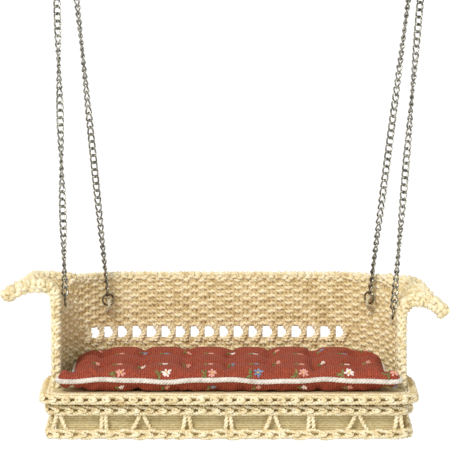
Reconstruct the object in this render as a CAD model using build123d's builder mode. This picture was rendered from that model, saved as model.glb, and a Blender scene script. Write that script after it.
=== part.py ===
from build123d import *

import os
from math import cos, degrees, radians, sin
from typing import NamedTuple

# A woven porch swing at one twelfth size: a thread-woven seat with a loose cushion, hung on four chains.
# All lengths are millimetres. +Z is up, X runs across the seat and -Y is the side one sits down from.
# The origin is on the ceiling, midway between the stems of the two hooks.
# A height is measured up from the foot of the skirt.

# Where the seat hangs
hang_height = 210.0  # from the ceiling down to the foot of the skirt
seat_x = -4.9  # the seat's centre, from the middle between the hooks
seat_y = -1.0

# Skirt and seat
skirt_width = 104.8
skirt_depth = 50.0
front_corner_radius = 4.5
rear_corner_radius = 23.0
lower_braid_height = 3.1
lace_gap_height = 3.8
upper_braid_height = 3.3
braid_thickness = 2.0
lining_thickness = 1.2
lining_setback = 0.6  # behind the braids
lining_foot = 0.8
strut_width = 2.2
strut_foot_width = 4.4  # of the struts that spread at the foot
strut_thickness = 1.4
front_strut_count = 9
side_strut_count = 2
rear_strut_count = 5
corner_strut_count = 2
strut_pitch = (skirt_width - 5.6) / (front_strut_count - 1)  # in front and behind
side_strut_pitch = (skirt_depth - front_corner_radius - rear_corner_radius) / side_strut_count
rim_overhang = 1.6
rim_width = 3.4
rim_height = 3.2
board_thickness = 2.0

# Woven back and arms: a sheet that stands on the seat in a U
weave_thickness = 1.5
body_width = skirt_width - 4.8  # between the middles of the two arms
body_corner_radius = 20.0
body_rear = skirt_depth / 2 - 3.5  # the middle of the back, behind the seat's centre
arm_front = 10.5 - skirt_depth / 2  # where the arms end
band_foot = 22.7  # the band of windows across the back
band_height = 3.4
window_count = 18
window_pitch = 0.051 * body_width
wrap_width = 1.7
wrap_thickness = 1.3
back_top = 41.2
stake_radius = 0.3
stake_play = 0.02
stake_inset = 1.2  # of each stake's ends, from the sheet's edges
top_braid_radius = 1.55
top_braid_play = 0.05  # above the sheet of the back
arm_braid_radius = 1.65
ear_braid_radius = 1.4

# Cushion
cushion_gap = 0.15  # above the seat
cushion_thickness = 7.0
cushion_width = body_width - 9.8
cushion_front = 1.0 - skirt_depth / 2
lip_width = skirt_width - 6.4  # of the cushion's front, which reaches out before the arms
lip_depth = 6.6
lip_corner_radius = 1.9
cushion_rear_gap = 0.3  # between the piping and the back
cushion_round_over = 1.8
piping_radius = 0.7
tuft_rows = (cushion_front + 13.5, body_rear - 16.0)
tuft_count = 7
tuft_pitch = (cushion_width - 15.8) / (tuft_count - 1)
tuft_thread_radius = 0.35
tuft_play = 0.02
tuft_stand = 0.1  # above and below the cushion

# Chains and their rings
link_wire = 0.46
link_width = 2.1
link_pitch = 2.13  # wanted; each chain's own pitch divides its length evenly
play = 0.04  # between wires that pull on each other
jump_ring_radius = 1.7
jump_ring_wire = 0.6
tie_radius = 2.3
tie_thread = 0.6
front_tie_setting = 0.8  # the tie's centre, inside the middle of the sheet
rear_tie_setting = 1.35
tie_hole_play = 0.05
front_ring_y = arm_front + 6.5
front_tie_heights = {"left": back_top - 4.6, "right": back_top - 8.6}
rear_tie_heights = {"left": back_top - 8.2, "right": back_top - 7.2}
rear_ring_stakes = {"left": 7.25, "right": 8.75}  # in window pitches from the middle; stakes stand at the halves

# Top rings and ceiling hooks
top_ring_spacing = 112.7
top_ring_radius = 3.0
top_ring_wire = 0.8
chain_spread = 24.0  # degrees, of each chain from the top ring's lowest point
hook_wire = 1.1
hook_radius = 2.2
hook_turn = 205.0
hook_drop = 5.4  # from the ceiling to the middle of the bend
hook_stem = 5.0  # in the ceiling
flange_radius = 1.8
flange_thickness = 0.8

# What follows from them
gap_foot = lower_braid_height
upper_braid_foot = gap_foot + lace_gap_height
rim_foot = upper_braid_foot + upper_braid_height
deck_top = rim_foot + rim_height
half_body = body_width / 2
half_weave = weave_thickness / 2
corner_x = half_body - body_corner_radius  # the middle of a rear corner's bend
corner_y = body_rear - body_corner_radius
wrap_row = (window_count + 1) * window_pitch
wing_angle = degrees((wrap_row / 2 - corner_x) / body_corner_radius)
band_top = band_foot + band_height
top_ring_x = top_ring_spacing / 2
hook_bottom = -hook_drop - hook_radius
top_ring_z = hook_bottom + (hook_wire + top_ring_wire) / 2 + play - top_ring_radius
cushion_foot = deck_top + cushion_gap
cushion_rear = body_rear - half_weave - cushion_rear_gap - piping_radius
ring_reach = tie_radius - (tie_thread + jump_ring_wire) / 2 - play
sides = {"left": -1, "right": 1}


class ArmTop(NamedTuple):
    """How an arm's sheet turns outwards at one place: a bend, then a wider curl."""

    bend_start: float
    bend_radius: float
    bend_turn: float
    curl_radius: float
    curl_turn: float

    def towards(self, other, share):
        return ArmTop(*[mine + (theirs - mine) * share for mine, theirs in zip(self, other)])


wing_top = ArmTop(back_top - 4.0, 60.0, 2.0, 45.0, 2.4)  # where the windows end
corner_tops = {
    "left": ArmTop(back_top - 3.9, 5.0, 45.0, 11.0, 30.0),
    "right": ArmTop(back_top - 5.2, 5.0, 50.0, 8.0, 25.0),
}
front_tops = {
    "left": ArmTop(back_top - 1.6, 3.6, 78.0, 13.0, 50.0),
    "right": ArmTop(back_top - 6.6, 4.6, 90.0, 9.0, 50.0),
}
corner_steps = 3  # of an arm's sheet round its corner


def seat_point(x, y, height):
    return Vector(seat_x + x, seat_y + y, height - hang_height)


def seat_plane(height):
    return Plane(seat_point(0, 0, height))


def wall_plane(side, angle):
    """A cut across the sheet, angle degrees round a rear corner from the back: x outwards, y up."""
    outwards = Vector(side * sin(radians(angle)), cos(radians(angle)), 0)
    foot = seat_point(side * corner_x, corner_y, 0) + outwards * body_corner_radius
    return Plane(foot, x_dir=outwards, z_dir=outwards.cross(Vector(0, 0, 1)))


def arm_plane(side, y):
    """The same cut across an arm."""
    return Plane(seat_point(side * half_body, y, 0), x_dir=(side, 0, 0), z_dir=(0, -side, 0))


def corner_axis(side):
    """About this axis a positive turn goes from the back to the arm."""
    return Axis(seat_point(side * corner_x, corner_y, 0), (0, 0, -side))


def save(piece, name):
    piece.label = name
    export_step(piece, f"parts/{name}.step")
    return piece


def seat_outline(inset):
    """The skirt's outline, drawn in by inset: square in front and rounded behind."""
    with BuildSketch() as outline:
        Rectangle(skirt_width - 2 * inset, skirt_depth - 2 * inset)
        fillet(outline.vertices().group_by(Axis.Y)[0], front_corner_radius - inset)
        fillet(outline.vertices().group_by(Axis.Y)[-1], rear_corner_radius - inset)
    return outline.sketch


def seat_hoop(name, foot, height, inset, thickness):
    """A band all the way round the seat."""
    outside = seat_outline(inset)
    inside = seat_outline(inset + thickness)
    with BuildPart() as hoop:
        with BuildSketch(seat_plane(foot)):
            add(outside)
            add(inside, mode=Mode.SUBTRACT)
        extrude(amount=height)
    return save(hoop.part, name)


def seat_plate(name, foot, height, inset):
    outline = seat_outline(inset)
    with BuildPart() as plate:
        with BuildSketch(seat_plane(foot)):
            add(outline)
        extrude(amount=height)
    return save(plate.part, name)


def skirt_struts():
    """Posts between the two braids, every other one spread at its foot as a loop is."""
    half_width = skirt_width / 2 - braid_thickness / 2
    half_depth = skirt_depth / 2 - braid_thickness / 2
    bend = rear_corner_radius - braid_thickness / 2
    places = []
    for column in range(front_strut_count):
        places.append(((column - (front_strut_count - 1) / 2) * strut_pitch, -half_depth, 0))
    for column in range(rear_strut_count):
        places.append(((column - (rear_strut_count - 1) / 2) * strut_pitch, half_depth, 180))
    for side in sides.values():
        for row in range(side_strut_count):
            first = half_depth - bend - side_strut_pitch / 2
            places.append((side * half_width, first - row * side_strut_pitch, side * 90))
        for step in range(corner_strut_count):
            turn = 90 * (step + 0.5) / corner_strut_count
            middle = (half_width - bend, half_depth - bend)
            x = side * (middle[0] + bend * sin(radians(turn)))
            y = middle[1] + bend * cos(radians(turn))
            places.append((x, y, 180 - side * turn))
    with BuildPart() as struts:
        for number, (x, y, turn) in enumerate(places):
            foot = seat_point(x, y, gap_foot)
            across = Vector(cos(radians(turn)), sin(radians(turn)), 0)
            face = Plane(foot, x_dir=across, z_dir=across.cross(Vector(0, 0, 1)))
            spread = strut_foot_width if number % 2 else strut_width
            with BuildSketch(face):
                with BuildLine():
                    Polyline(
                        (-spread / 2, 0),
                        (spread / 2, 0),
                        (strut_width / 2, lace_gap_height),
                        (-strut_width / 2, lace_gap_height),
                        close=True,
                    )
                make_face()
            extrude(amount=strut_thickness / 2, both=True)
    return save(struts.part, "skirt_struts")


def back_panel(foot, height):
    """A level strip of the back, from one side's wing to the other's."""
    with BuildPart() as panel:
        for side in sides.values():
            for sweep_round in (False, True):
                with BuildSketch(wall_plane(side, 0)):
                    with Locations((0, foot + height / 2)):
                        Rectangle(weave_thickness, height)
                if sweep_round:
                    revolve(axis=corner_axis(side), revolution_arc=wing_angle)
                else:
                    extrude(amount=-side * corner_x)
    return panel.part


def arm_section(top):
    """The outline of an arm's sheet, from the seat up and outwards."""
    with BuildSketch() as section:
        with BuildLine():
            ends = []
            for face in (-half_weave, half_weave):
                rise = Line((face, deck_top), (face, top.bend_start))
                bend = JernArc(rise @ 1, rise % 1, top.bend_radius - face, -top.bend_turn)
                curl = JernArc(bend @ 1, bend % 1, top.curl_radius - face, -top.curl_turn)
                ends.append((rise @ 0, curl @ 1))
            Line(ends[0][0], ends[1][0])
            Line(ends[0][1], ends[1][1])
        make_face()
    return section.sketch


def arm_edge(wall, top):
    """The middle line of an arm's sheet on one cut."""
    with BuildLine(wall) as edge:
        rise = Line((0, deck_top), (0, top.bend_start))
        bend = JernArc(rise @ 1, rise % 1, top.bend_radius, -top.bend_turn)
        JernArc(bend @ 1, bend % 1, top.curl_radius, -top.curl_turn)
    return edge.line


def arm_cuts(name):
    """The cuts that an arm's sheet is lofted through, from the wing of the back to the front, with its top at each."""
    side = sides[name]
    cuts = []
    for step in range(corner_steps + 1):
        share = step / corner_steps
        wall = wall_plane(side, wing_angle + (90 - wing_angle) * share)
        cuts.append((wall, wing_top.towards(corner_tops[name], share)))
    cuts.append((arm_plane(side, arm_front), front_tops[name]))
    return cuts


def arm_sheet(name):
    sections = [(wall, arm_section(top)) for wall, top in arm_cuts(name)]
    with BuildPart() as sheet:
        for wall, section in sections:
            with BuildSketch(wall):
                add(section)
        loft(ruled=True)
    return sheet.part


def top_braid():
    with BuildPart() as braid:
        for side in sides.values():
            for sweep_round in (False, True):
                with BuildSketch(wall_plane(side, 0)):
                    with Locations((0, back_top)):
                        Circle(top_braid_radius)
                if sweep_round:
                    revolve(axis=corner_axis(side), revolution_arc=wing_angle)
                else:
                    extrude(amount=-side * corner_x)
    return braid.part


def arm_braid(name):
    """The border of an arm's front edge, from the seat to the tip of the ear."""
    edge = arm_edge(*arm_cuts(name)[-1])
    with BuildPart() as braid:
        with BuildSketch(Plane(edge @ 0, z_dir=edge % 0)):
            Circle(arm_braid_radius)
        sweep(path=edge)
        with Locations(edge @ 1):
            Sphere(arm_braid_radius)
    return braid.part


def ear_braid(name, *neighbours):
    """The border of an arm's top edge, from the wing of the back to the tip of the ear."""
    corners = [arm_edge(*cut) @ 1 for cut in arm_cuts(name)]
    with BuildPart() as braid:
        with BuildLine() as edge:
            Polyline(*corners)
        with BuildSketch(Plane(edge.line @ 0, z_dir=edge.line % 0)):
            Circle(ear_braid_radius)
        sweep(path=edge.line, transition=Transition.ROUND)
        for neighbour in neighbours:
            add(neighbour, mode=Mode.SUBTRACT)
    return braid.part


def without(piece, *others):
    with BuildPart() as rest:
        add(piece)
        for other in others:
            add(other, mode=Mode.SUBTRACT)
    return rest.part


def wrap_planes():
    """Level cuts at the middles of the wrapped stakes, evenly spaced along the back."""
    planes = []
    for number in range(window_count):
        along = (number - (window_count - 1) / 2) * window_pitch
        side = 1 if along > 0 else -1
        round_corner = max(0.0, abs(along) - corner_x)
        wall = wall_plane(side, degrees(round_corner / body_corner_radius))
        straight = min(abs(along), corner_x) - corner_x
        planes.append(Plane(wall.origin + Vector(side * straight, 0, 0), x_dir=wall.x_dir, z_dir=(0, 0, 1)))
    return planes


def uprights(foot, height, radius):
    """One round post on each wrapped stake's middle."""
    with BuildPart() as posts:
        for plane in wrap_planes():
            with BuildSketch(plane.offset(foot)):
                Circle(radius)
            extrude(amount=height)
    return posts.part


def window_wraps():
    with BuildPart() as wraps:
        for plane in wrap_planes():
            with BuildSketch(plane.offset(band_foot)):
                RectangleRounded(wrap_thickness, wrap_width, wrap_thickness / 3)
                Circle(stake_radius + stake_play, mode=Mode.SUBTRACT)
            extrude(amount=band_height)
    return wraps.part


def cushion_outline():
    """The cushion in plan: between the arms, with a lip before them."""
    back_bend = body_corner_radius - (half_body - cushion_width / 2)
    with BuildSketch() as outline:
        with Locations((0, (cushion_front + cushion_rear) / 2)):
            Rectangle(cushion_width, cushion_rear - cushion_front)
        fillet(outline.vertices().group_by(Axis.Y)[-1], back_bend)
        with Locations((0, cushion_front + lip_depth / 2)):
            Rectangle(lip_width, lip_depth)
        lip = outline.vertices().filter_by_position(Axis.Y, cushion_front, cushion_front + lip_depth)
        fillet(lip, lip_corner_radius)
    return outline.sketch


def cushion_piping():
    path = seat_plane(cushion_foot + cushion_thickness / 2).location * cushion_outline().wire()
    with BuildPart() as piping:
        with BuildSketch(Plane(path @ 0, z_dir=path % 0)):
            Circle(piping_radius)
        sweep(path=path)
    return piping.part


def tuft_threads(radius):
    with BuildPart() as threads:
        for row in tuft_rows:
            with BuildSketch(seat_plane(cushion_foot - tuft_stand)):
                with Locations((0, row)):
                    with GridLocations(tuft_pitch, 1, tuft_count, 1):
                        Circle(radius)
            extrude(amount=cushion_thickness + 2 * tuft_stand)
    return threads.part


def cushion_pad(*let_in):
    outline = cushion_outline()
    with BuildPart() as pad:
        with BuildSketch(seat_plane(cushion_foot)):
            add(outline)
        extrude(amount=cushion_thickness)
        fillet(pad.faces().filter_by(Axis.Z).edges(), cushion_round_over)
        for piece in let_in:
            add(piece, mode=Mode.SUBTRACT)
    return pad.part


def wire_ring(centre, normal, radius, thickness):
    with BuildPart(Plane(centre, z_dir=normal)) as ring:
        Torus(radius, thickness / 2)
    return ring.part


def chain(start, end, end_wires, end_normals):
    """Oval links between the wires of two rings, each about a quarter turn from the last.

    The first and the last link stand square to their rings, so the chain turns slowly along its length.
    """
    along = (end - start).normalized()
    span = (end - start).length + play + sum(end_wires) / 2
    count = round(span / link_pitch)
    pitch = span / count
    bend = (link_width - link_wire) / 2
    half_straight = (pitch + play + link_wire) / 2 - bend
    with BuildPart() as link:
        with BuildLine(Plane.XZ) as middle:
            right = Line((bend, -half_straight), (bend, half_straight))
            over = JernArc(right @ 1, right % 1, bend, 180)
            left = Line(over @ 1, over @ 1 - Vector(0, 0, 2 * half_straight))
            JernArc(left @ 1, left % 1, bend, 180)
        with BuildSketch(Plane(right @ 0, z_dir=right % 0)):
            Circle(link_wire / 2)
        sweep(path=middle.line)
    first = (pitch + play) / 2 - end_wires[0] / 2 - play
    first_flat, last_flat = [normal - along * normal.dot(along) for normal in end_normals]
    wanted = first_flat.get_signed_angle(last_flat, along)
    left_over = (wanted - 90 * (count - 1) + 90) % 180 - 90
    step = 90 + left_over / (count - 1)
    places = []
    for number in range(count):
        flat = first_flat.rotate(Axis((0, 0, 0), along), step * number)
        places.append(Plane(start + along * (first + number * pitch), x_dir=flat, z_dir=along).location)
    # The links stay apart, so they are gathered and not joined.
    return Compound([place * link.part.solid() for place in places])


def hook(side):
    """A J of wire that opens towards the other hook, with a flange against the ceiling."""
    stem_x = side * (top_ring_x + hook_radius)
    with BuildPart() as whole:
        with BuildLine(Plane((stem_x, 0, 0), x_dir=(-side, 0, 0), z_dir=(0, side, 0))) as wire:
            shank = Line((0, hook_stem), (0, -hook_drop))
            JernArc(shank @ 1, shank % 1, hook_radius, hook_turn)
        with BuildSketch(Plane(shank @ 0, z_dir=shank % 0)):
            Circle(hook_wire / 2)
        sweep(path=wire.line)
        with BuildSketch(Plane((stem_x, 0, -flange_thickness))):
            Circle(flange_radius)
        extrude(amount=flange_thickness)
    return whole.part


class Hang(NamedTuple):
    """Where one jump ring holds the sheet, and where its chain runs from and to."""

    tie: Vector
    along_sheet: Vector
    ring: Vector
    ring_normal: Vector
    chain_start: Vector
    chain_end: Vector


def hang(side, wall, height, setting, spread):
    tie = wall.from_local_coords((-setting, height, 0))
    held = wall.from_local_coords((-setting - ring_reach, height, 0))
    turn = radians(spread)
    reach = Vector(0, sin(turn), -cos(turn)) * top_ring_radius
    chain_end = Vector(side * top_ring_x, 0, top_ring_z) + reach
    pull = (chain_end - held).normalized()
    ring = held + pull * jump_ring_radius
    return Hang(tie, wall.z_dir, ring, pull.cross(wall.z_dir), ring + pull * jump_ring_radius, chain_end)


os.makedirs("parts", exist_ok=True)

# Seat and skirt
seat_hoop("skirt_lower_braid", 0, lower_braid_height, 0, braid_thickness)
seat_hoop("skirt_upper_braid", upper_braid_foot, upper_braid_height, 0, braid_thickness)
seat_hoop("seat_rim_braid", rim_foot, rim_height, -rim_overhang, rim_width)
lining_inset = braid_thickness + lining_setback
seat_hoop("skirt_lining", lining_foot, rim_foot - lining_foot, lining_inset, lining_thickness)
deck_inset = rim_width - rim_overhang
seat_plate("seat_board", rim_foot, board_thickness, deck_inset)
seat_plate("seat_deck_weave", rim_foot + board_thickness, rim_height - board_thickness, deck_inset)
skirt_struts()

# Rings, their ties and the chains
hangs = {}
for name, side in sides.items():
    front_wall = arm_plane(side, front_ring_y)
    round_corner = rear_ring_stakes[name] * window_pitch - corner_x
    rear_wall = wall_plane(side, degrees(round_corner / body_corner_radius))
    height = front_tie_heights[name]
    hangs[f"front_{name}"] = hang(side, front_wall, height, front_tie_setting, -chain_spread)
    height = rear_tie_heights[name]
    hangs[f"rear_{name}"] = hang(side, rear_wall, height, rear_tie_setting, chain_spread)
tie_holes = []
for name, held in hangs.items():
    tie = wire_ring(held.tie, held.along_sheet, tie_radius, tie_thread)
    save(tie, f"tie_{name}")
    tie_holes.append(wire_ring(held.tie, held.along_sheet, tie_radius, tie_thread + 2 * tie_hole_play))
    save(wire_ring(held.ring, held.ring_normal, jump_ring_radius, jump_ring_wire), f"jump_ring_{name}")
    end_wires = (jump_ring_wire, top_ring_wire)
    end_normals = (held.ring_normal, Vector(1, 0, 0))
    save(chain(held.chain_start, held.chain_end, end_wires, end_normals), f"chain_{name}")
for name, side in sides.items():
    top_ring = wire_ring(Vector(side * top_ring_x, 0, top_ring_z), (1, 0, 0), top_ring_radius, top_ring_wire)
    save(top_ring, f"top_ring_{name}")
    save(hook(side), f"hook_{name}")

# Back and arms
stake_foot = deck_top + stake_inset
stake_height = back_top - top_braid_radius - stake_inset - stake_foot
stake_holes = uprights(stake_foot, stake_height, stake_radius + stake_play)
save(uprights(stake_foot + stake_play, stake_height - 2 * stake_play, stake_radius), "back_stakes")
save(without(back_panel(deck_top, band_foot - deck_top), stake_holes), "back_lower_weave")
save(window_wraps(), "window_wraps")
braid = save(top_braid(), "top_braid")
upper = back_panel(band_top, back_top - top_braid_radius - top_braid_play - band_top)
save(without(upper, stake_holes, *tie_holes), "back_upper_weave")
for name in sides:
    front = save(arm_braid(name), f"arm_braid_{name}")
    ear = save(ear_braid(name, braid, front), f"ear_braid_{name}")
    save(without(arm_sheet(name), front, ear, *tie_holes), f"arm_weave_{name}")

# Cushion
piping = save(cushion_piping(), "cushion_piping")
save(tuft_threads(tuft_thread_radius), "tuft_stitches")
save(cushion_pad(piping, tuft_threads(tuft_thread_radius + tuft_play)), "cushion")
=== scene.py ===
import math

import bmesh
import bpy
from mathutils import Matrix, Vector, geometry
from mathutils.bvhtree import BVHTree


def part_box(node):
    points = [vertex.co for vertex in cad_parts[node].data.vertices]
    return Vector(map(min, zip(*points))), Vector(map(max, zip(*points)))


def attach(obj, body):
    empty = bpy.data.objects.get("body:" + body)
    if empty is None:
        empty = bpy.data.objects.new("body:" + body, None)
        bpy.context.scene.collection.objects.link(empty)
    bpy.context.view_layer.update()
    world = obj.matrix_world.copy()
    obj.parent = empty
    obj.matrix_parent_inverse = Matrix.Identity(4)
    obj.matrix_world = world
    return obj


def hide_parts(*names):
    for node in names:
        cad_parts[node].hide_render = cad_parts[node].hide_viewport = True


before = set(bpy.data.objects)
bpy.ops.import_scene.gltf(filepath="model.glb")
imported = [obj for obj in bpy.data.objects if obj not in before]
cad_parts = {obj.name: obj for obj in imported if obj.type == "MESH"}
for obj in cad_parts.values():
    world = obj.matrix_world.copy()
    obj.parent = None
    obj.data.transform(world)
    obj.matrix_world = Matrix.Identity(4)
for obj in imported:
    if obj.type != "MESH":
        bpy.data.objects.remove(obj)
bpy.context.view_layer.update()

MM = 0.001
UP = Vector((0, 0, 1))

# ---- places, read from the frame ----


class Box:
    def __init__(self, node):
        low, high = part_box(node)
        self.low = Vector(low)
        self.high = Vector(high)
        self.middle = (self.low + self.high) / 2
        self.size = self.high - self.low


SEAT = Box("skirt_lower_braid")
SEAT_X = SEAT.middle.x
SEAT_Y = SEAT.middle.y
FOOT = SEAT.low.z
DECK_TOP = Box("seat_rim_braid").high.z
BACK = Box("back_upper_weave")
BACK_LOW = Box("back_lower_weave")
WEAVE_THICKNESS = 1.5 * MM
BODY_CORNER = 20 * MM
HALF_BODY = SEAT.size.x / 2 - 2.4 * MM  # to the middles of the arms, which stand in from the skirt
CORNER_X = HALF_BODY - BODY_CORNER
BACK_Y = BACK.high.y - WEAVE_THICKNESS / 2
CORNER_Y = BACK_Y - BODY_CORNER
BACK_TOP = Box("top_braid").middle.z
BAND_FOOT = BACK_LOW.high.z
BAND_TOP = BACK.low.z
ARM_FRONT = Box("arm_braid_left").middle.y
WING = BACK.size.x / 2

TOP_RING_RADIUS = 3.0 * MM
JUMP_RING_RADIUS = 1.7 * MM
CHAIN_SPREAD = math.radians(24)  # of each chain from the top ring's lowest point
TIE_REACH = 2.3 * MM
STRUT_PITCH = 12.4 * MM
PIPING_RADIUS = 0.7 * MM
TUFT_THREAD = 0.35 * MM

# ---- cords ----


def curve_data(name, cyclic, routes, turn=0.0, swell=1.0):
    """A curve with one straight-run spline for each route, turned along its length and thicker by its end."""
    data = bpy.data.curves.new(name, "CURVE")
    data.dimensions = "3D"
    data.twist_mode = "MINIMUM"
    data.use_fill_caps = not cyclic
    for route in routes:
        spline = data.splines.new("POLY")
        spline.points.add(len(route) - 1)
        travelled = 0.0
        for place, point in enumerate(route):
            if place:
                travelled += (point - route[place - 1]).length
            spline.points[place].co = (*point, 1)
            spline.points[place].tilt = turn * travelled
            spline.points[place].radius = grown(place / len(route), swell)
        spline.use_cyclic_u = cyclic
    return data


def grown(share, swell):
    """From 1 over the first half of the way to swell at its end."""
    return 1 + (swell - 1) * min(1.0, max(0.0, (share - 0.5) / 0.25))


def as_mesh(name, data):
    """The curve's mesh, as an object at the origin."""
    source = bpy.data.objects.new(name + "_curve", data)
    bpy.context.scene.collection.objects.link(source)
    bpy.context.view_layer.update()
    mesh = bpy.data.meshes.new_from_object(source.evaluated_get(bpy.context.evaluated_depsgraph_get()))
    bpy.data.objects.remove(source)
    piece = bpy.data.objects.new(name, mesh)
    bpy.context.scene.collection.objects.link(piece)
    return piece


def ply_section(radius, sides=8, waist=0.5):
    """The cut through two threads twisted together."""
    data = bpy.data.curves.new("ply_section", "CURVE")
    data.dimensions = "2D"
    spline = data.splines.new("POLY")
    spline.points.add(sides - 1)
    for side in range(sides):
        angle = 2 * math.pi * side / sides
        reach = radius * (waist + (1 - waist) * abs(math.cos(angle)))
        spline.points[side].co = (reach * math.cos(angle), reach * math.sin(angle), 0, 1)
    spline.use_cyclic_u = True
    section = bpy.data.objects.new("ply_section", data)
    bpy.context.scene.collection.objects.link(section)
    return section


def yarn(name, routes, radius, twist_pitch, cyclic=False, sides=8, swell=1.0):
    """Two-ply thread along each route, one full turn of the plies in twist_pitch."""
    data = curve_data(name, cyclic, routes, 2 * math.pi / twist_pitch, swell)
    section = ply_section(radius, sides)
    data.bevel_mode = "OBJECT"
    data.bevel_object = section
    piece = as_mesh(name, data)
    bpy.data.objects.remove(section)
    smooth(piece)
    return piece


def wire(name, routes, radius, cyclic=False, resolution=2):
    data = curve_data(name, cyclic, routes)
    data.bevel_depth = radius
    data.bevel_resolution = resolution
    piece = as_mesh(name, data)
    smooth(piece)
    return piece


def smooth(piece):
    for face in piece.data.polygons:
        face.use_smooth = True


def even(start, end, step):
    """Numbers from start to end, about step apart, with both ends."""
    count = max(2, round(abs(end - start) / step) + 1)
    return [start + (end - start) * number / (count - 1) for number in range(count)]


# ---- the woven back and arms ----

LINE_END = BACK_TOP - 4 * MM  # where the sheet starts to turn outwards at the corner


class ArmTop:
    """How an arm's sheet turns outwards on one cut, as lengths and turns."""

    def __init__(self, bend_start, bend_radius, bend_turn, curl_radius, curl_turn):
        self.rise = bend_start
        self.bend_radius = bend_radius
        self.bend_turn = math.radians(bend_turn)
        self.curl_radius = curl_radius
        self.curl_turn = math.radians(curl_turn)

    def at(self, along):
        """Out from the foot line and up: 0 to 1 is the rise, 1 to 2 the bend, 2 to 3 the curl."""
        if along <= 1:
            return Vector((0, self.rise * along)), Vector((1, 0))
        turn = min(along - 1, 1) * self.bend_turn
        place = Vector((1 - math.cos(turn), math.sin(turn))) * self.bend_radius
        place.y += self.rise
        if along > 2:
            more = (along - 2) * self.curl_turn
            place.x += self.curl_radius * (math.cos(turn) - math.cos(turn + more))
            place.y += self.curl_radius * (math.sin(turn + more) - math.sin(turn))
            turn += more
        return place, Vector((math.cos(turn), -math.sin(turn)))


RISE = BACK_TOP - DECK_TOP
WING_TOP = ArmTop(RISE - 4 * MM, 60 * MM, 2.0, 45 * MM, 2.4)
CORNER_TOPS = {
    -1: ArmTop(RISE - 3.9 * MM, 5 * MM, 45, 11 * MM, 30),
    1: ArmTop(RISE - 5.2 * MM, 5 * MM, 50, 8 * MM, 25),
}
FRONT_TOPS = {
    -1: ArmTop(RISE - 1.6 * MM, 3.6 * MM, 78, 13 * MM, 50),
    1: ArmTop(RISE - 6.6 * MM, 4.6 * MM, 90, 9 * MM, 50),
}
FLAT = CORNER_X
ROUND = BODY_CORNER * math.pi / 2
ARM = CORNER_Y - ARM_FRONT
HALF_RUN = FLAT + ROUND + ARM
WING_RUN = FLAT + BODY_CORNER * math.asin((WING - CORNER_X) / (BODY_CORNER + WEAVE_THICKNESS / 2))


def cut_through(run):
    """The sheet's foot at run, the way out from it, and the two tops it lies between with the share."""
    side = 1 if run >= 0 else -1
    run = abs(run)
    if run > FLAT + ROUND:
        share = (run - FLAT - ROUND) / ARM
        foot = Vector((SEAT_X + side * HALF_BODY, CORNER_Y - share * ARM, DECK_TOP))
        return foot, Vector((side, 0, 0)), (CORNER_TOPS[side], FRONT_TOPS[side], share)
    turn = max(0.0, run - FLAT) / BODY_CORNER
    out = Vector((side * math.sin(turn), math.cos(turn), 0))
    foot = Vector((SEAT_X + side * min(run, CORNER_X), CORNER_Y, DECK_TOP)) + out * BODY_CORNER
    share = max(0.0, (run - WING_RUN) / (FLAT + ROUND - WING_RUN))
    return foot, out, (WING_TOP, CORNER_TOPS[side], share)


def sheet_point(run, along, off=0.0):
    """A place on the sheet: run is measured round it from the middle of the back, and off inwards from it."""
    foot, out, (before, after, share) = cut_through(run)
    place, face = before.at(along)
    further, further_face = after.at(along)
    place = place.lerp(further, share) - face.lerp(further_face, share).normalized() * off
    return foot + out * place.x + UP * place.y


STAKE_PITCH = 2.55 * MM
ROW_PITCH = 1.22 * MM
ROW_RADIUS = 0.72 * MM
WAVE = 0.40 * MM
YARN_TWIST = 2.9 * MM
OPEN_FROM = -42.5 * MM  # the run of windows, from the middle of the back
OPEN_TO = 35.5 * MM
WINDOW_COUNT = 18


def row_route(run_from, run_to, along, number):
    """One thread of the weave, passing before and behind the stakes and wandering a little."""
    route = []
    for run in even(run_from, run_to, 0.5 * MM):
        weave = math.cos(math.pi * run / STAKE_PITCH + math.pi * number)
        wander = 0.16 * MM * math.sin(run / (6.1 * MM) + 2.1 * number)
        height = along + wander / (LINE_END - DECK_TOP)
        route.append(sheet_point(run, height, WAVE * weave))
    return route


def band_rows(low, high):
    """The shares of the rise at which rows run between two heights."""
    span = LINE_END - DECK_TOP
    count = round((high - low) / ROW_PITCH)
    return [((low - DECK_TOP) + (high - low) * (number + 0.5) / count) / span for number in range(count)]


def weave_panel(name, alongs, node):
    """Rows of the back from one wing to the other."""
    routes = []
    for number, along in enumerate(alongs):
        routes.append(row_route(-WING_RUN, WING_RUN, along, number))
    panel = yarn(name, routes, ROW_RADIUS, YARN_TWIST)
    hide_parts(node)
    return panel


def make_back():
    lower = band_rows(DECK_TOP, BAND_FOOT)
    upper = band_rows(BAND_TOP, LINE_END) + [1.2, 1.75, 2.3, 2.8]
    upper_panel = weave_panel("back_weave_upper", upper, "back_upper_weave")
    closed = []
    for number, along in enumerate(band_rows(BAND_FOOT, BAND_TOP)):
        closed.append(row_route(-WING_RUN, OPEN_FROM - 0.6 * MM, along, number))
        closed.append(row_route(OPEN_TO + 0.6 * MM, WING_RUN, along, number))
    return [
        weave_panel("back_weave_lower", lower, "back_lower_weave"),
        upper_panel,
        yarn("back_weave_beside_windows", closed, ROW_RADIUS, YARN_TWIST),
    ]


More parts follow.
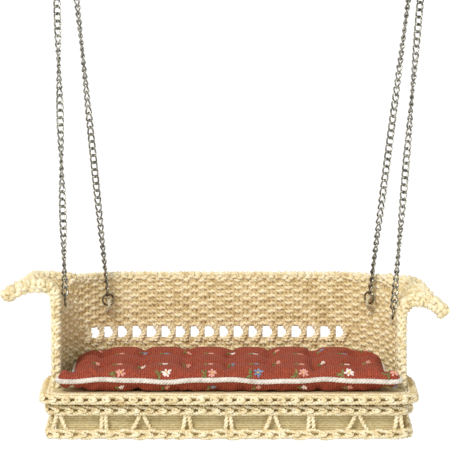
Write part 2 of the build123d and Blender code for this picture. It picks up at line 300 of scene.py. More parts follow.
def make_arm(name, side):
    """Rows along the whole arm, and shorter ones that fill its top where it flares."""
    routes = []
    for number, along in enumerate(band_rows(DECK_TOP, LINE_END)):
        routes.append(row_route(side * WING_RUN, side * (HALF_RUN - 1 * MM), along, number))
    flare = [1.12, 1.37, 1.62, 1.87] + [2 + (step + 0.5) / 9 for step in range(9)]
    starts = [0, 20 * MM, 8 * MM, 26 * MM]  # how far past the wing each row of the flare begins
    for number, along in enumerate(flare):
        start = side * (WING_RUN + starts[number % 4])
        routes.append(row_route(start, side * (HALF_RUN - 1 * MM), along, number))
    panel = yarn(f"arm_weave_rows_{name}", routes, ROW_RADIUS, YARN_TWIST)
    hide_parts(f"arm_weave_{name}")
    return panel


def turned_up(point, before, after, out):
    """The directions along, out of and across a border at one place."""
    along = (after - before).normalized()
    out = (out - along * out.dot(along)).normalized()
    return point, along, out, along.cross(out).normalized()


def edge_frame(run):
    step = 0.3 * MM
    point = sheet_point(run, 3)
    out = point - sheet_point(run, 3, MM)
    return turned_up(point, sheet_point(run - step, 3), sheet_point(run + step, 3), out)


def plait_routes(frame_at, start, end, width, depth, pitch, swell=1.0):
    """Three strands plaited along a border."""
    routes = []
    for strand in range(3):
        route = []
        for place in even(start, end, 0.35 * MM):
            point, along, out, across = frame_at(place)
            phase = 2 * math.pi * (place / pitch + strand / 3)
            weave = across * (width * math.sin(phase)) + out * (depth * math.sin(2 * phase))
            route.append(point + weave * grown((place - start) / (end - start), swell))
        routes.append(route)
    return routes


PLAIT_TWIST = 2.6 * MM
PLAIT_PITCH = 6.6 * MM


def plait(name, frame_at, start, end, node, width=0.78 * MM, depth=0.5 * MM, radius=0.82 * MM, swell=1.0):
    routes = plait_routes(frame_at, start, end, width, depth, PLAIT_PITCH, swell)
    braid = yarn(name, routes, radius, PLAIT_TWIST, swell=swell)
    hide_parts(node)
    return braid


def make_borders():
    tip = HALF_RUN + 0.8 * MM
    borders = [plait("top_border", edge_frame, -WING_RUN, WING_RUN, "top_braid")]
    for name, side in (("left", -1), ("right", 1)):
        ends = sorted((side * WING_RUN, side * tip))
        node = f"ear_braid_{name}"
        ear = plait(f"ear_border_{name}", edge_frame, *ends, node, 1.1 * MM, 0.8 * MM, 1.05 * MM)
        borders.append(ear)
        top = FRONT_TOPS[side]
        lengths = (top.rise, top.bend_radius * top.bend_turn, top.curl_radius * top.curl_turn)

        def point_at(distance, side=side, lengths=lengths):
            for along, length in enumerate(lengths):
                if distance <= length or along == 2:
                    return sheet_point(side * HALF_RUN, along + distance / length)
                distance -= length

        def front_frame(travelled, point_at=point_at):
            before, after = point_at(travelled - 0.3 * MM), point_at(travelled + 0.3 * MM)
            return turned_up(point_at(travelled), before, after, Vector((0, -1, 0)))

        end = sum(lengths) + 1.2 * MM
        node = f"arm_braid_{name}"
        sizes = (0.78 * MM, 0.55 * MM, 0.86 * MM, 1.5)
        front = plait(f"arm_border_{name}", front_frame, 0.3 * MM, end, node, *sizes)
        borders.append(front)
    return borders


def make_windows():
    """Bundles of stakes across the open band, straight on the right and splayed on the left."""
    span = LINE_END - DECK_TOP
    low = (BAND_FOOT - DECK_TOP - 1.0 * MM) / span
    high = (BAND_TOP - DECK_TOP + 1.0 * MM) / span
    centre = (low + high) / 2
    pitch = (OPEN_TO - OPEN_FROM) / WINDOW_COUNT
    routes = []
    for number in range(WINDOW_COUNT + 1):
        run = OPEN_FROM + number * pitch + 0.22 * MM * math.sin(3.1 * number)
        for side_step in (-0.5 * MM, 0.3 * MM):
            route = []
            for along in even(low, high, 0.015):
                pinch = 0.6 + 0.4 * abs(along - centre) / (high - centre)
                route.append(sheet_point(run + side_step * pinch, along, 0.1 * MM))
            routes.append(route)
        for end in (low, high):
            for reach in (1.0 * MM, 1.9 * MM):
                route = []
                for share in even(0, 1, 0.08):
                    lean = reach * share ** 1.2
                    along = centre + (end - centre) * share
                    route.append(sheet_point(run - 0.4 * MM - lean, along, 0.5 * MM))
                routes.append(route)
        route = []
        for share in even(0, 1, 0.08):
            along = low + (centre - low) * 1.1 * share
            route.append(sheet_point(run + 0.3 * MM - 1.5 * MM * (1 - share), along, 0.85 * MM))
        routes.append(route)
    windows = yarn("window_spokes", routes, 0.55 * MM, 2.2 * MM)
    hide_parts("window_wraps", "back_stakes")
    return windows


def make_warps():
    """Upright threads between the rows of the weave, close enough to stop the light."""
    routes = []
    count = int(HALF_RUN / STAKE_PITCH * 2)
    span = LINE_END - DECK_TOP
    band = ((BAND_FOOT - DECK_TOP) / span, (BAND_TOP - DECK_TOP) / span)
    for number in range(-count, count + 1):
        run = number * STAKE_PITCH / 2
        stops = [(0, band[0]), (band[1], 2.95)] if OPEN_FROM < run < OPEN_TO else [(0, 2.95)]
        for low, high in stops:
            routes.append([sheet_point(run, along) for along in even(low, high, 0.05)])
    return wire("warp_threads", routes, 0.64 * MM, resolution=1)


# ---- seat and skirt ----


class Hoop:
    """A line round the seat at one inset and height, with its length and the way out at each place."""

    def __init__(self, inset, height):
        half_x = SEAT.size.x / 2 - inset
        half_y = SEAT.size.y / 2 - inset
        front = 4.5 * MM - inset
        rear = 23 * MM - inset
        corners = [(1, -1, front), (1, 1, rear), (-1, 1, rear), (-1, -1, front)]
        self.points = []
        for quarter, (side_x, side_y, radius) in enumerate(corners):
            reach = (side_x * (half_x - radius), side_y * (half_y - radius))
            middle = Vector((SEAT_X + reach[0], SEAT_Y + reach[1], height))
            for step in range(17):
                turn = math.pi / 2 * (quarter - 1 + step / 16)
                self.points.append(middle + Vector((math.cos(turn), math.sin(turn), 0)) * radius)
        self.points.append(self.points[0])
        self.far = [0.0]
        for before, after in zip(self.points, self.points[1:]):
            self.far.append(self.far[-1] + (after - before).length)
        self.length = self.far[-1]

    def point(self, distance):
        distance %= self.length
        for number in range(1, len(self.far)):
            if distance <= self.far[number]:
                share = (distance - self.far[number - 1]) / max(1e-9, self.far[number] - self.far[number - 1])
                return self.points[number - 1].lerp(self.points[number], share)
        return self.points[-1]

    def frame(self, distance):
        point = self.point(distance)
        along = (self.point(distance + 0.4 * MM) - self.point(distance - 0.4 * MM)).normalized()
        return point, along, along.cross(UP), UP


STITCH_PITCH = 3.85 * MM


def stitch_routes(hoop, width, lift, tilt):
    """Chain stitches round a hoop, the head of each lying on the tail of the next."""
    routes = []
    count = round(hoop.length / STITCH_PITCH)
    pitch = hoop.length / count
    for number in range(count):
        uneven = 1 + 0.08 * math.sin(5.3 * number)
        route = []
        for step in range(22):
            turn = 2 * math.pi * step / 22
            forward = -pitch * 0.74 * math.cos(turn)
            point, along, out, across = hoop.frame(number * pitch + forward)
            face = (out * math.cos(tilt) + across * math.sin(tilt)).normalized()
            cross = (across * math.cos(tilt) - out * math.sin(tilt)).normalized()
            aside = width / 2 * math.sin(turn) * (0.72 + 0.34 * math.cos(turn)) * uneven
            raised = lift * (0.5 - 0.5 * math.cos(turn))
            route.append(point + cross * aside + face * raised)
        routes.append(route)
    return routes


def stitched_braid(name, inset, foot, height, node, tilt=0.0, thread=0.62 * MM, sway=0.0):
    """Chain stitches over two cords that fill the braid behind them."""
    hoop = Hoop(inset + 0.4 * MM, foot + height / 2)
    routes = stitch_routes(hoop, height * 0.82, 0.6 * MM, tilt)
    for number, route in enumerate(routes):
        for point in route:
            point.z += sway * math.sin(2.7 * number)
    loops = yarn(name, routes, thread, 2.4 * MM, cyclic=True)
    core = []
    for row in range(2):
        line = Hoop(inset + 0.95 * MM, foot + height * (row + 0.5) / 2)
        core.append([line.point(distance) for distance in even(0, line.length, 0.8 * MM)[:-1]])
    filling = yarn(name + "_core", core, height * 0.28, 3.0 * MM, cyclic=True)
    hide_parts(node)
    return [loops, filling]


def make_seat():
    rim = Box("seat_rim_braid")
    upper = Box("skirt_upper_braid")
    lower = Box("skirt_lower_braid")
    rim_inset = (SEAT.size.x - rim.size.x) / 2
    pieces = stitched_braid("rim_stitches", rim_inset, rim.low.z, rim.size.z, "seat_rim_braid", tilt=0.25)
    pieces += stitched_braid("skirt_upper_stitches", 0, upper.low.z, upper.size.z, "skirt_upper_braid")
    foot, height = lower.low.z, lower.size.z
    pieces += stitched_braid("skirt_lower_stitches", 0, foot, height, "skirt_lower_braid", sway=0.25 * MM)
    top_lines = []
    for inset in (rim_inset + 2.0 * MM, rim_inset + 3.1 * MM):
        line = Hoop(inset, rim.high.z - 0.35 * MM)
        top_lines.append([line.point(distance) for distance in even(0, line.length, 0.8 * MM)[:-1]])
    pieces.append(yarn("rim_top_cords", top_lines, 0.62 * MM, 2.2 * MM, cyclic=True))
    return pieces


def make_struts():
    """Twisted posts and open loops between the two braids of the skirt."""
    low = Box("skirt_lower_braid").high.z - 0.6 * MM
    high = Box("skirt_upper_braid").low.z + 0.6 * MM
    hoop = Hoop(1.0 * MM, low)
    front_middle = 0.0
    best = 1.0
    for distance in even(0, hoop.length, 0.25 * MM):
        point = hoop.point(distance)
        miss = abs(point.x - SEAT_X) + abs(point.y - SEAT.low.y)
        if miss < best:
            best = miss
            front_middle = distance
    count = round(hoop.length / STRUT_PITCH)
    pitch = hoop.length / count
    routes = []
    for number in range(count):
        centre = front_middle + number * pitch + 0.7 * MM * math.sin(2.3 * number)
        spread = (2.7 if number % 2 else 1.0) * MM + 0.35 * MM * math.sin(4.9 * number)
        pinch = 0.5 * MM
        for side in (-1, 1):
            route = []
            for share in even(0, 1, 0.1):
                aside = side * (pinch + (spread - pinch) * (1 - share) ** 1.3)
                point = hoop.point(centre + aside)
                route.append(Vector((point.x, point.y, low + (high - low) * share)))
            routes.append(route)
    struts = yarn("skirt_lace", routes, 0.74 * MM, 2.4 * MM)
    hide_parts("skirt_struts")
    return struts


# ---- cushion ----

CUSHION = Box("cushion")
TUFTS = Box("tuft_stitches")
TUFT_COLUMNS = 7
TUFT_PITCH = (TUFTS.size.x - 2 * TUFT_THREAD) / (TUFT_COLUMNS - 1)
TUFT_ROWS = (TUFTS.low.y + TUFT_THREAD, TUFTS.high.y - TUFT_THREAD)
SIM_SCALE = 10  # the cloth is simulated ten times larger than life, where the solver is steady
PUFF_LIMIT = 0.8 * MM
SEAM_REACH = 5.2 * MM  # from the seam in to where the pillow is full


def tuft_places():
    for number, y in enumerate(TUFT_ROWS):
        for column in range(TUFT_COLUMNS):
            shift = 0.9 * MM * math.sin(4.1 * column + 2.0 * number)
            yield Vector((SEAT_X + (column - (TUFT_COLUMNS - 1) / 2) * TUFT_PITCH + shift, y, CUSHION.high.z))


def make_cushion():
    """The cushion swells under pressure, held down at its tufts."""
    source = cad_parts["cushion"]
    mesh = bpy.data.meshes.new("cushion_cover")
    form = bmesh.new()
    form.from_mesh(source.data)
    bmesh.ops.remove_doubles(form, verts=form.verts, dist=0.01 * MM)
    bmesh.ops.scale(form, vec=(SIM_SCALE,) * 3, verts=form.verts)
    form.to_mesh(mesh)
    form.free()
    cover = bpy.data.objects.new("cushion_cover", mesh)
    bpy.context.scene.collection.objects.link(cover)
    remesh = cover.modifiers.new("even_mesh", "REMESH")
    remesh.mode = "VOXEL"
    remesh.voxel_size = 1.05 * MM * SIM_SCALE
    apply_all(cover)
    drop_tufts(cover)
    start = [vertex.co.copy() for vertex in cover.data.vertices]
    blow_up(cover)
    floor = CUSHION.low.z * SIM_SCALE
    limit = PUFF_LIMIT * SIM_SCALE
    for vertex, old in zip(cover.data.vertices, start):
        move = vertex.co - old
        if move.length > limit:
            vertex.co = old + move * (limit / move.length)
        vertex.co.z = max(vertex.co.z, floor)
    cover.data.transform(Matrix.Scale(1 / SIM_SCALE, 4))
    soften = cover.modifiers.new("finer", "SUBSURF")
    soften.levels = soften.render_levels = 1
    apply_all(cover)
    smooth(cover)
    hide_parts("cushion")
    return cover


def apply_all(piece):
    """The piece's mesh becomes what its modifiers make of it."""
    bpy.context.view_layer.update()
    mesh = bpy.data.meshes.new_from_object(piece.evaluated_get(bpy.context.evaluated_depsgraph_get()))
    piece.modifiers.clear()
    piece.data = mesh


def drop_tufts(cover):
    """Shapes the pillow: thin at its seam, drawn down and pinned at each tuft, with a furrow on from each."""
    pins = cover.vertex_groups.new(name="pins")
    places = [place * SIM_SCALE for place in tuft_places()]
    seam = [Vector((point.x, point.y)) * SIM_SCALE for point in cushion_outline()]
    ends = list(zip(seam, seam[1:] + seam[:1]))
    middle = CUSHION.middle.z * SIM_SCALE
    for vertex in cover.data.vertices:
        spot = vertex.co.xy
        edge = min((geometry.intersect_point_line(spot, *line)[0].xy - spot).length
                   for line in ends if within(spot, *line))
        fullness = math.sqrt(1 - (1 - min(edge / (SEAM_REACH * SIM_SCALE), 1)) ** 2)
        vertex.co.z = middle + (vertex.co.z - middle) * (0.2 + 0.66 * fullness)
        reach = min((place.xy - spot).length for place in places)
        aside = min(abs(place.x - spot.x) for place in places)
        if vertex.co.z > middle:
            dimple = math.exp(-((reach / (3.2 * MM * SIM_SCALE)) ** 2))
            furrow = math.exp(-((aside / (1.3 * MM * SIM_SCALE)) ** 2))
            vertex.co.z -= (2.7 * dimple + 0.75 * furrow * fullness) * MM * SIM_SCALE
        if reach < 1.1 * MM * SIM_SCALE or edge < 0.8 * MM * SIM_SCALE:
            pins.add([vertex.index], 1.0, "REPLACE")


def within(spot, start, end):
    """Whether the spot lies beside the seam's stretch from start to end."""
    length = (end - start).length
    share = (spot - start).dot(end - start) / max(length * length, 1e-12)
    return length > 1e-9 and -0.6 < share < 1.6


def blow_up(cover):
    cloth = cover.modifiers.new("cloth", "CLOTH")
    settings = cloth.settings
    settings.quality = 5
    settings.mass = 0.3
    settings.tension_stiffness = 12
    settings.compression_stiffness = 12
    settings.shear_stiffness = 5
    settings.bending_stiffness = 0.4
    settings.use_pressure = True
    settings.uniform_pressure_force = 4
    settings.shrink_min = -0.09
    settings.vertex_group_mass = "pins"
    settings.effector_weights.gravity = 0
    cloth.collision_settings.use_collision = False
    for moment in range(1, 21):
        bpy.context.scene.frame_set(moment)
    apply_all(cover)
    bpy.context.scene.frame_set(1)


def tree_of(piece):
    form = bmesh.new()
    form.from_mesh(piece.data)
    tree = BVHTree.FromBMesh(form)
    form.free()
    return tree


def cushion_outline():
    """The seam's route round the cushion in plan, as points."""
    piping = Box("cushion_piping")
    low = piping.low + Vector((PIPING_RADIUS, PIPING_RADIUS, 0))
    high = piping.high - Vector((PIPING_RADIUS, PIPING_RADIUS, 0))
    half_width = 45.1 * MM
    lip = 6.6 * MM
    small = 1.9 * MM
    large = BODY_CORNER - (HALF_BODY - half_width)
    corners = [  # the middle of each bend from the right-hand front, its radius, and its first and last turn
        ((high.x - small, low.y + small), small, -90, 0),
        ((high.x - small, low.y + lip - small), small, 0, 90),
        ((SEAT_X + half_width + small, low.y + lip + small), small, 270, 180),
        ((SEAT_X + half_width - large, high.y - large), large, 0, 90),
    ]
    right = []
    for middle, bend, start, end in corners:
        for turn in even(start, end, 9):
            angle = math.radians(turn)
            place = (middle[0] + bend * math.cos(angle), middle[1] + bend * math.sin(angle))
            right.append(Vector((*place, piping.middle.z)))
    left = [Vector((2 * SEAT_X - point.x, point.y, point.z)) for point in reversed(right)]
    return right + left


def make_piping(tree):
    """Three white strands twisted together and sewn along the seam, which rises and falls a little."""
    outline = cushion_outline()
    outline.append(outline[0])
    strands = [[], [], []]
    travelled = 0.0
    for before, after in zip(outline, outline[1:]):
        length = (after - before).length
        if length < 0.01 * MM:
            continue
        along = (after - before).normalized()
        out = along.cross(UP)
        for share in even(0, 1, 0.28 * MM / max(length, 0.28 * MM))[:-1]:
            point = before.lerp(after, share)
            turn = 2 * math.pi * (point.x - SEAT_X)
            point.z += 0.3 * MM * math.sin(turn / (31 * MM) + 2.2)
            point.z += 0.12 * MM * math.sin(turn / (13 * MM) + 0.7)
            phase = 2 * math.pi * (travelled + share * length) / (2.9 * MM)
            for number, strand in enumerate(strands):
                angle = phase + 2 * math.pi * number / 3
                strand.append(point + (out * math.cos(angle) + UP * math.sin(angle)) * 0.4 * MM)
        travelled += length
    cord = wire("cushion_cord", strands, 0.37 * MM, cyclic=True)
    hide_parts("cushion_piping")
    return cord


def make_tuft_stitches(tree):
    """A short cross of thread in each dimple."""
    routes = []
    for number, place in enumerate(tuft_places()):
        for turn in (0.5, 2.1):
            route = []
            for share in even(-1, 1, 0.25):
                reach = 1.0 * MM * share
                angle = turn + number
                over = place + Vector((reach * math.cos(angle), reach * math.sin(angle), 10 * MM))
                hit = tree.ray_cast(over, -UP)
                route.append(hit[0] + UP * 0.28 * MM * (1 - share * share))
            routes.append(route)
    stitches = yarn("tuft_crosses", routes, 0.3 * MM, 1.2 * MM, sides=6)
    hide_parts("tuft_stitches")
    return stitches


MOTIF_PITCH = 13.1 * MM


def motif_stitches(number):
    """A loose flower with spiky leaves: (across, up, length, width, turn, thread) of each stitch."""
    stitches = [(0.85, 0.2, 0.55, 0.5, 0, "heart")]
    for petal in range(7):
        angle = 2 * math.pi * petal / 7 + 0.35 * math.sin(5.1 * petal + number)
        reach = 0.66 + 0.13 * math.sin(3.7 * petal + 2 * number)
        place = (0.85 + reach * math.cos(angle), 0.2 + reach * math.sin(angle))
        stitches.append((*place, 0.95 + 0.22 * math.sin(2.9 * petal + number), 0.55, angle, "petal"))
    for leaf in range(6):
        angle = math.radians(95 + 34 * leaf + 12 * math.sin(2.3 * leaf + number))
        length = 1.25 + 0.35 * math.sin(1.9 * leaf + number)
        place = (-0.45 + 0.6 * length * math.cos(angle), -0.25 + 0.6 * length * math.sin(angle))
        stitches.append((*place, length, 0.32, angle, "leaf"))
    return stitches


def make_embroidery(tree):
    """Small stitched flowers in rows, laid on the swollen cloth."""
    threads = {"heart": [], "petal_blue": [], "petal_pink": [], "petal_white": [], "leaf": []}
    spots = []
    columns = range(-3, 5)
    for column in columns:
        x = SEAT_X + (column - 0.45) * MOTIF_PITCH
        spots.append((x, 0, "front_high", column))
        spots.append((x + 0.7 * MM, 0, "front_low", column + 1))
        for row in range(4):
            y = CUSHION.low.y + (6.5 + 9.5 * row) * MM
            spots.append((x + (0.5 * MOTIF_PITCH if row % 2 else 0.0), y, "top", column + row))
    right = Vector((1, 0, 0))
    for x, y, face, number in spots:
        petal = "petal_" + ("pink", "blue", "pink", "white")[number % 4]
        if face == "top":
            start, way = Vector((x, y, CUSHION.high.z + 10 * MM)), -UP
        else:
            height = CUSHION.middle.z + (2.0 * MM if face == "front_high" else -2.2 * MM)
            start, way = Vector((x, CUSHION.low.y - 10 * MM, height)), Vector((0, 1, 0))
        hit = tree.ray_cast(start, way)
        if hit[0] is None:
            continue
        up = hit[1].cross(right).normalized()
        shrink = 1.3 if face == "front_high" else 0.75
        for across, rise, length, width, turn, thread in motif_stitches(number):
            place = hit[0] + (right * across + up * rise) * MM * shrink
            down = tree.find_nearest(place)
            along = right * math.cos(turn) + up * math.sin(turn)
            along = (along - down[1] * along.dot(down[1])).normalized()
            size = (length * MM * shrink, width * MM * shrink, 0.22 * MM)
            colour = petal if thread == "petal" else thread
            threads[colour].append((down[0], along, down[1], size))
    pieces = []
    for thread, stitches in threads.items():
        if stitches:
            pieces.append((thread, stitch_mesh("embroidery_" + thread, stitches)))
    return pieces


def stitch_mesh(name, stitches):
    """Raised satin stitches: one flattened ball for each."""
    form = bmesh.new()
    for place, along, out, size in stitches:
        turn = Matrix((along, out.cross(along), out)).transposed().to_4x4()
        matrix = Matrix.Translation(place) @ turn @ Matrix.Diagonal((size[0] / 2, size[1] / 2, size[2], 1))
        bmesh.ops.create_uvsphere(form, u_segments=10, v_segments=6, radius=1, matrix=matrix)
    mesh = bpy.data.meshes.new(name)
    form.to_mesh(mesh)
    form.free()
    piece = bpy.data.objects.new(name, mesh)
    bpy.context.scene.collection.objects.link(piece)
    smooth(piece)
    return piece


# ---- chains ----

LINK_WIRE = 0.28 * MM
LINK_PITCH = 2.13 * MM
CHAIN_TURNS = {  # degrees at the lower end, and degrees more for each millimetre upwards
    "front_left": (35, 6.3),
    "rear_left": (80, 2.6),
    "front_right": (20, 4.0),
    "rear_right": (100, -2.4),
}


def make_chain(name):
    """Twisted oval links that lie alike, so the chain turns as a ribbon does."""
    place, side = name.split("_")
    ring = Box(f"jump_ring_{name}")
    top = Box(f"top_ring_{side}")
    spread = -CHAIN_SPREAD if place == "front" else CHAIN_SPREAD
    end = top.middle + Vector((0, math.sin(spread), -math.cos(spread))) * TOP_RING_RADIUS
    along = (end - ring.middle).normalized()
    start = ring.middle + along * JUMP_RING_RADIUS
    span = (end - start).length + 0.74 * MM
    count = round(span / LINK_PITCH)
    pitch = span / count
    first = pitch / 2 - 0.32 * MM
    half_length = (pitch + 0.5 * MM) / 2
    half_width = 0.84 * MM
    twist = 0.42 * MM
    turn_start, turn_rate = CHAIN_TURNS[name]
    base = Vector((0, 1, 0)).cross(along).normalized()
    routes = []
    for number in range(count):
        distance = first + number * pitch
        angle = math.radians(turn_start + turn_rate * distance / MM + 3 * math.sin(1.7 * number))
        flat = Matrix.Rotation(angle, 3, along) @ base
        deep = along.cross(flat)
        centre = start + along * distance
        route = []
        for step in range(18):
            turn = 2 * math.pi * step / 18
            longer = abs(math.sin(turn)) ** 0.75 * (1 if math.sin(turn) >= 0 else -1)
            round_it = flat * (half_width * math.cos(turn)) + along * (half_length * longer)
            route.append(centre + round_it + deep * (twist * math.sin(2 * turn)))
        routes.append(route)
    chain = wire(f"curb_chain_{name}", routes, LINK_WIRE, cyclic=True, resolution=1)
    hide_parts(f"chain_{name}")
    return chain


def make_ties():
    """Pairs of thread loops that hold each jump ring to the weave."""
    pieces = []
    for name in CHAIN_TURNS:
        box = Box(f"tie_{name}")
        centre = box.middle
        seat_middle = Vector((SEAT_X, SEAT_Y, centre.z))
        away = centre - seat_middle
        spans = (box.size.x - 0.6 * MM, max(0.0, box.size.y - 0.6 * MM))
        flat = Vector((math.copysign(spans[0], away.x), math.copysign(spans[1], away.y), 0)).normalized()
        aside = flat.cross(UP)
        routes = []
        for shift in (-0.42 * MM, 0.42 * MM):
            route = []
            for step in range(24):
                turn = 2 * math.pi * step / 24
                round_it = flat * (TIE_REACH * math.cos(turn)) + UP * (2.1 * MM * math.sin(turn))
                route.append(centre + aside * (shift * (1 + 0.5 * math.cos(turn))) + round_it)
            routes.append(route)
        tie = yarn(f"ring_tie_{name}", routes, 0.38 * MM, 1.4 * MM, cyclic=True, sides=6)
        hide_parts(f"tie_{name}")
        pieces.append(tie)
    return pieces


# ---- materials ----


MULTIPLY_ADD = {"operation": "MULTIPLY_ADD"}


def srgb(hex_colour):
    """A linear colour from its sRGB hex value."""
    channels = [int(hex_colour[place:place + 2], 16) / 255 for place in (1, 3, 5)]
    return (*[c / 12.92 if c <= 0.04045 else ((c + 0.055) / 1.055) ** 2.4 for c in channels], 1)


def add(tree, kind, settings=(), **links):
    """Adds a node with its settings; links are input name (with _ for a space) to a socket or a value."""
    node = tree.nodes.new(kind)
    for key, value in dict(settings).items():
        setattr(node, key, value)
    for key, value in links.items():
        socket = node.inputs[int(key[1:]) if key[1:].isdigit() else key.replace("_", " ")]
        if isinstance(value, bpy.types.NodeSocket):
            tree.links.new(value, socket)
        else:
            socket.default_value = value
    return node


def new_material(name, roughness, metallic=0.0):
    material = bpy.data.materials.new(name)
    material.use_nodes = True
    tree = material.node_tree
    shader = tree.nodes["Principled BSDF"]
    shader.inputs["Roughness"].default_value = roughness
    shader.inputs["Metallic"].default_value = metallic
    return material, tree, shader


def thread_material(name, dark, middle, light, fibre=0.16 * MM, patch=3.0 * MM, bump=0.25, roughness=0.82):
    """Spun cotton: matt fibres, a little darker in patches where it is handled or dyed unevenly."""
    material, tree, shader = new_material(name, roughness)
    where = add(tree, "ShaderNodeTexCoord").outputs["Object"]
    patches = add(tree, "ShaderNodeTexNoise", Vector=where, Scale=1 / patch, Detail=4.0, Roughness=0.65)
    fine = add(tree, "ShaderNodeTexNoise", Vector=where, Scale=1 / fibre, Detail=3.0)
    specks = fine.outputs["Fac"]
    blend = add(tree, "ShaderNodeMath", MULTIPLY_ADD, i0=specks, i1=0.35, i2=patches.outputs["Fac"])
    colours = add(tree, "ShaderNodeValToRGB", Fac=blend.outputs[0])
    ramp = colours.color_ramp
    ramp.elements[0].position = 0.42
    ramp.elements[0].color = srgb(dark)
    ramp.elements[1].position = 0.95
    ramp.elements[1].color = srgb(light)
    ramp.elements.new(0.66).color = srgb(middle)
    tree.links.new(colours.outputs["Color"], shader.inputs["Base Color"])
    rough = add(tree, "ShaderNodeBump", Strength=bump, Distance=0.1 * MM, Height=fine.outputs["Fac"])
    tree.links.new(rough.outputs["Normal"], shader.inputs["Normal"])
    return material


def cloth_material():
    """Ribbed cotton in rust red: fine ribs across the seat, with a paler thread here and there."""
    material, tree, shader = new_material("ribbed_cotton", 0.95)
    where = add(tree, "ShaderNodeTexCoord").outputs["Object"]
    across = {"wave_type": "BANDS", "bands_direction": "X"}
    scale = 0.314 / (0.62 * MM)
    ribs = add(tree, "ShaderNodeTexWave", across, Vector=where, Scale=scale, Distortion=0.8, Detail=2.0)
    slant = {"wave_type": "BANDS", "bands_direction": "DIAGONAL"}
    cross = add(tree, "ShaderNodeTexWave", slant, Vector=where, Scale=0.314 / (0.8 * MM), Distortion=1.5)
    speck = add(tree, "ShaderNodeTexNoise", Vector=where, Scale=1 / (0.5 * MM), Detail=4.0)
    lines = ribs.outputs["Fac"]
    weave = add(tree, "ShaderNodeMath", MULTIPLY_ADD, i0=lines, i1=0.35, i2=speck.outputs["Fac"])
    colours = add(tree, "ShaderNodeValToRGB", Fac=weave.outputs[0])
    ramp = colours.color_ramp
    ramp.elements[0].position = 0.35
    ramp.elements[0].color = srgb("#5E2213")
    ramp.elements[1].position = 0.95
    ramp.elements[1].color = srgb("#AC5032")
    ramp.elements.new(0.65).color = srgb("#8E3A24")
    tree.links.new(colours.outputs["Color"], shader.inputs["Base Color"])
    both = add(tree, "ShaderNodeMath", MULTIPLY_ADD, i0=cross.outputs["Fac"], i1=0.5, i2=ribs.outputs["Fac"])
    rough = add(tree, "ShaderNodeBump", Strength=0.5, Distance=0.12 * MM, Height=both.outputs[0])
    tree.links.new(rough.outputs["Normal"], shader.inputs["Normal"])
    return material


def mat_material():
    """The woven mat behind the lace: fine level rows of tan thread."""
    material, tree, shader = new_material("tan_mat", 0.88)
    where = add(tree, "ShaderNodeTexCoord").outputs["Object"]
    level = {"wave_type": "BANDS", "bands_direction": "Z"}
    scale = 0.314 / (0.55 * MM)
    rows = add(tree, "ShaderNodeTexWave", level, Vector=where, Scale=scale, Distortion=1.2, Detail=2.0)
    speck = add(tree, "ShaderNodeTexNoise", Vector=where, Scale=1 / (0.7 * MM), Detail=4.0)
    weave = add(tree, "ShaderNodeMath", MULTIPLY_ADD, i0=rows.outputs["Fac"], i1=0.5, i2=speck.outputs["Fac"])
    colours = add(tree, "ShaderNodeValToRGB", Fac=weave.outputs[0])
    ramp = colours.color_ramp
    ramp.elements[0].position = 0.35
    ramp.elements[0].color = srgb("#B49D66")
    ramp.elements[1].position = 1.0
    ramp.elements[1].color = srgb("#E6D8A8")
    tree.links.new(colours.outputs["Color"], shader.inputs["Base Color"])
    rough = add(tree, "ShaderNodeBump", Strength=0.7, Distance=0.15 * MM, Height=rows.outputs["Fac"])
    tree.links.new(rough.outputs["Normal"], shader.inputs["Normal"])
    return material


def metal_material(name, dark, light, roughness):
    """Antiqued plating: darker in some patches, rubbed paler in others, at random."""
    material, tree, shader = new_material(name, roughness, metallic=1.0)
    where = add(tree, "ShaderNodeTexCoord").outputs["Object"]
    worn = add(tree, "ShaderNodeTexNoise", Vector=where, Scale=1 / (0.9 * MM), Detail=4.0)
    colours = add(tree, "ShaderNodeValToRGB", Fac=worn.outputs["Fac"])
    ramp = colours.color_ramp
    ramp.elements[0].position = 0.4
    ramp.elements[0].color = srgb(dark)
    ramp.elements[1].position = 0.65
    ramp.elements[1].color = srgb(light)
    tree.links.new(colours.outputs["Color"], shader.inputs["Base Color"])
    return material


def wood_material():
    """Unfinished basswood under the seat, with faint grain along its length."""
    material, tree, shader = new_material("basswood", 0.7)
    where = add(tree, "ShaderNodeTexCoord").outputs["Object"]
    stretched = add(tree, "ShaderNodeMapping", Vector=where, Scale=(60, 1600, 400))
    grain = add(tree, "ShaderNodeTexNoise", Vector=stretched.outputs[0], Scale=1.0, Detail=5.0)
    colours = add(tree, "ShaderNodeValToRGB", Fac=grain.outputs["Fac"])
    colours.color_ramp.elements[0].position = 0.35
    colours.color_ramp.elements[0].color = srgb("#B89468")
    colours.color_ramp.elements[1].position = 0.7
    colours.color_ramp.elements[1].color = srgb("#D9BC92")
    tree.links.new(colours.outputs["Color"], shader.inputs["Base Color"])
    return material


def wear(piece, material, body):
    piece.data.materials.clear()
    piece.data.materials.append(material)
    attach(piece, body)


def paint_node(node, material):
    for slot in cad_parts[node].material_slots:
        slot.material = material


# ---- stage, light and camera ----


def plain_material(name, colour, roughness=0.9):
    material, tree, shader = new_material(name, roughness)
    shader.inputs["Base Color"].default_value = srgb(colour)
    return material


def make_stage():
    form = bmesh.new()
    place = Matrix.Translation((0, 2, FOOT - 0.09))
    bmesh.ops.create_grid(form, x_segments=1, y_segments=1, size=6.0, matrix=place)
    mesh = bpy.data.meshes.new("floor")
    form.to_mesh(mesh)
    form.free()
    floor = bpy.data.objects.new("floor", mesh)
    bpy.context.scene.collection.objects.link(floor)
    floor.data.materials.append(plain_material("pale_floor", "#FFFFFF"))


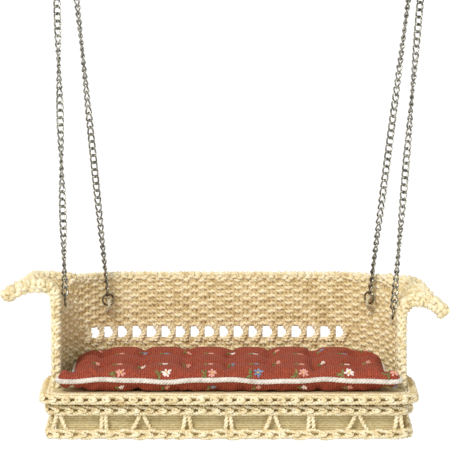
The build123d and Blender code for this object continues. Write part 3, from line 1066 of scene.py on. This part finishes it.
def sun_light(name, way, strength, softness):
    data = bpy.data.lights.new(name, "SUN")
    data.energy = strength
    data.angle = softness
    lamp = bpy.data.objects.new(name, data)
    bpy.context.scene.collection.objects.link(lamp)
    lamp.rotation_euler = Vector(way).to_track_quat("-Z", "Y").to_euler()


def make_lights():
    world = bpy.data.worlds.new("studio")
    world.use_nodes = True
    world.node_tree.nodes["Background"].inputs["Color"].default_value = (1, 1, 1, 1)
    world.node_tree.nodes["Background"].inputs["Strength"].default_value = 0.7
    bpy.context.scene.world = world
    bpy.context.scene.view_settings.view_transform = "Standard"
    sun_light("key", (0.35, 0.75, -0.75), 1.9, 0.3)


CAMERA_DISTANCE = 1.0
VIEW_HEIGHT = 60.7 * MM  # of the view's middle above the skirt's foot
VIEW_WIDTH = 131 * MM
ELEVATION = math.radians(7)


def make_camera():
    target = Vector((SEAT_X + 0.3 * MM, SEAT.low.y, FOOT + VIEW_HEIGHT))
    data = bpy.data.cameras.new("camera")
    data.sensor_width = 36
    data.lens = 36 * CAMERA_DISTANCE / VIEW_WIDTH
    data.clip_start = 0.01
    camera = bpy.data.objects.new("camera", data)
    bpy.context.scene.collection.objects.link(camera)
    camera.location = target + Vector((0, -math.cos(ELEVATION), math.sin(ELEVATION))) * CAMERA_DISTANCE
    camera.rotation_euler = (math.pi / 2 - ELEVATION, 0, 0)
    bpy.context.scene.camera = camera


# ---- everything in its place ----

make_camera()
cane = thread_material("cotton_cane", "#D0B47C", "#F1E1B6", "#FBF2D6")
# A darker copy of the cane colour: painted shade, worn by the warps between the rows and the braid cores
# behind the stitches
shaded_cane = thread_material("cotton_cane_painted_shade", "#B49860", "#DCC590", "#EAD9AA")
braid_cord = thread_material("cotton_braid", "#C4A468", "#F0E0B4", "#FCF5DE", patch=2.2 * MM)
tie_thread = thread_material("tie_thread", "#C8B488", "#EADDB8", "#FAF2DC", patch=1.5 * MM)
white_cord = thread_material("white_cord", "#B4A998", "#DAD2C6", "#F2ECE2", patch=2.0 * MM)
nickel = metal_material("antique_nickel", "#6B695E", "#C6C3B4", 0.22)
ring_nickel = metal_material("dark_ring_wire", "#5E5744", "#A39A80", 0.28)

for piece in make_back():
    wear(piece, cane, "swing")
for name, side in (("left", -1), ("right", 1)):
    wear(make_arm(name, side), cane, "swing")
# the warps wear the darker cane copy: painted shade between the rows of the weave
wear(make_warps(), shaded_cane, "swing")
wear(make_windows(), cane, "swing")
for piece in make_borders():
    wear(piece, braid_cord, "swing")
# the braid cores wear the darker cane copy: painted shade behind the stitches
for piece in make_seat():
    wear(piece, shaded_cane if piece.name.endswith("_core") else braid_cord, "swing")
wear(make_struts(), cane, "swing")

cushion = make_cushion()
cloth_tree = tree_of(cushion)
wear(cushion, cloth_material(), "cushion")
wear(make_piping(cloth_tree), white_cord, "cushion")
wear(make_tuft_stitches(cloth_tree), tie_thread, "cushion")
THREADS = {
    "heart": ("#D8B450", "#EBD27E"),
    "petal_blue": ("#6C7E98", "#A3B2C2"),
    "petal_pink": ("#D49484", "#EFC0AC"),
    "petal_white": ("#E6D8CE", "#FFF6F0"),
    "leaf": ("#6A7238", "#A0A45E"),
}
for thread, piece in make_embroidery(cloth_tree):
    dark, light = THREADS[thread]
    silk = thread_material("embroidery_" + thread, dark, dark, light, patch=1.0 * MM, roughness=0.7)
    wear(piece, silk, "cushion")

for name in CHAIN_TURNS:
    wear(make_chain(name), nickel, "swing")
    paint_node(f"jump_ring_{name}", ring_nickel)
for tie in make_ties():
    wear(tie, tie_thread, "swing")
for side in ("left", "right"):
    paint_node(f"top_ring_{side}", nickel)
    paint_node(f"hook_{side}", nickel)
paint_node("skirt_lining", mat_material())
paint_node("seat_deck_weave", mat_material())
paint_node("seat_board", wood_material())

make_stage()
make_lights()
